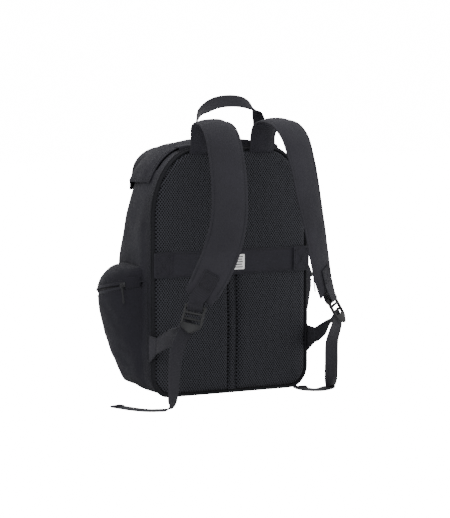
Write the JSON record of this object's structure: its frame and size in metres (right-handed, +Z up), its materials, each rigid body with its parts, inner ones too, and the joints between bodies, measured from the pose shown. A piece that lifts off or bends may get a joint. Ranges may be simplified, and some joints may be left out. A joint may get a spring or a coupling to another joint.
{
  "type": "school backpack",
  "caption": "Hooded-lid school backpack with arched mesh back, bellows side pockets, padded shoulder straps, ladder locks, trolley band and carry handle.",
  "frame": {"origin": "middle of the flat base, on the surface the bag stands on", "axes": "+X to the right as seen facing the back panel, +Y from the back panel towards the bag's front, +Z up"},
  "size_m": [0.4521, 0.3446, 0.509],
  "materials": {
    "air_mesh": "black three-dimensional spacer mesh",
    "webbing": "ribbed polyester webbing",
    "band_fabric": "matte woven polyester",
    "lock_plastic": "moulded black plastic, satin",
    "zip_coil": "black nylon coil on woven tape",
    "dark_metal": "black painted metal",
    "puller_cord": "braided black cord",
    "label_weave": "white woven label",
    "strap_fabric": "matte woven polyester",
    "lining": "plain dark lining",
    "binding": "black binding tape",
    "shell_fabric": "matte charcoal woven polyester"
  },
  "bodies": {
    "bag": {"anchor_tab_left": "shell_fabric", "anchor_tab_right": "shell_fabric", "back_board": "lining", "back_border": "binding", "back_pad_lower_left": "air_mesh", "back_pad_lower_right": "air_mesh", "back_pad_upper": "air_mesh", "band_end_left": "band_fabric", "band_end_right": "band_fabric", "band_patch_left": "band_fabric", "band_patch_right": "band_fabric", "base_panel": "shell_fabric", "centre_seam": "binding", "front_panel": "shell_fabric", "front_pocket": "shell_fabric", "front_pocket_hood": "shell_fabric", "front_zip": "zip_coil", "gusset_left": "shell_fabric", "gusset_right": "shell_fabric", "handle_tab_left": "webbing", "handle_tab_right": "webbing", "laptop_sleeve": "lining", "lock_webbing_left": "webbing", "lock_webbing_right": "webbing", "lower_webbing_left": "webbing", "lower_webbing_right": "webbing", "pocket_hood_left": "shell_fabric", "pocket_hood_right": "shell_fabric", "pocket_zip_left": "zip_coil", "pocket_zip_right": "zip_coil", "side_pocket_left": "shell_fabric", "side_pocket_right": "shell_fabric", "snap_base": "dark_metal", "strap_pad_left": "strap_fabric", "strap_pad_right": "strap_fabric", "top_collar": "shell_fabric", "top_yoke": "shell_fabric", "trolley_band": "band_fabric", "webbing_tail_left": "webbing", "webbing_tail_right": "webbing", "woven_label": "label_weave"},
    "lid": {"lid": "shell_fabric", "snap_cap": "dark_metal"},
    "handle": {"carry_handle": "webbing"},
    "slider_left": {"zip_slider_left": "dark_metal"},
    "puller_left": {"zip_puller_left": "puller_cord"},
    "slider_right": {"zip_slider_right": "dark_metal"},
    "puller_right": {"zip_puller_right": "puller_cord"},
    "front_slider": {"front_slider": "dark_metal"},
    "front_puller": {"front_puller": "puller_cord"},
    "lock_left": {"ladder_lock_left": "lock_plastic"},
    "lock_right": {"ladder_lock_right": "lock_plastic"}
  },
  "joints": [
    {"name": "lid_hinge", "type": "hinge", "parent": "bag", "child": "lid", "pos_m": [0, -0.05, 0.4355], "axis": [1, 0, 0], "range_deg": [0, 95]},
    {"name": "handle_fold", "type": "hinge", "parent": "bag", "child": "handle", "pos_m": [0, -0.0754, 0.445], "axis": [1, 0, 0], "range_deg": [-80, 0]},
    {"name": "zip_slide_left", "type": "hinge", "parent": "bag", "child": "slider_left", "pos_m": [-0.13696, 0.013, 0.179], "axis": [0, -0.2419, -0.9703], "range_deg": [0, 92]},
    {"name": "puller_swing_left", "type": "hinge", "parent": "slider_left", "child": "puller_left", "pos_m": [-0.18589, -0.03617, 0.19126], "axis": [-0.7193, 0.674, -0.1681], "range_deg": [0, 75]},
    {"name": "zip_slide_right", "type": "hinge", "parent": "bag", "child": "slider_right", "pos_m": [0.13696, 0.013, 0.179], "axis": [0, 0.2419, 0.9703], "range_deg": [0, 92]},
    {"name": "puller_swing_right", "type": "hinge", "parent": "slider_right", "child": "puller_right", "pos_m": [0.18589, -0.03617, 0.19126], "axis": [-0.7193, -0.674, 0.1681], "range_deg": [0, 75]},
    {"name": "front_zip_slide", "type": "slide", "parent": "bag", "child": "front_slider", "axis": [1, 0, 0], "range_m": [0, 0.16]},
    {"name": "front_puller_swing", "type": "hinge", "parent": "front_slider", "child": "front_puller", "pos_m": [-0.08, 0.1044, 0.178], "axis": [1, 0, 0], "range_deg": [0, 75]},
    {"name": "lock_tilt_left", "type": "hinge", "parent": "bag", "child": "lock_left", "pos_m": [-0.128, -0.1954, 0.168], "axis": [-0.7555, 0.6328, 0.17], "range_deg": [0, 30]},
    {"name": "lock_tilt_right", "type": "hinge", "parent": "bag", "child": "lock_right", "pos_m": [0.128, -0.1954, 0.168], "axis": [-0.7555, -0.6328, -0.17], "range_deg": [0, 30]}
  ]
}
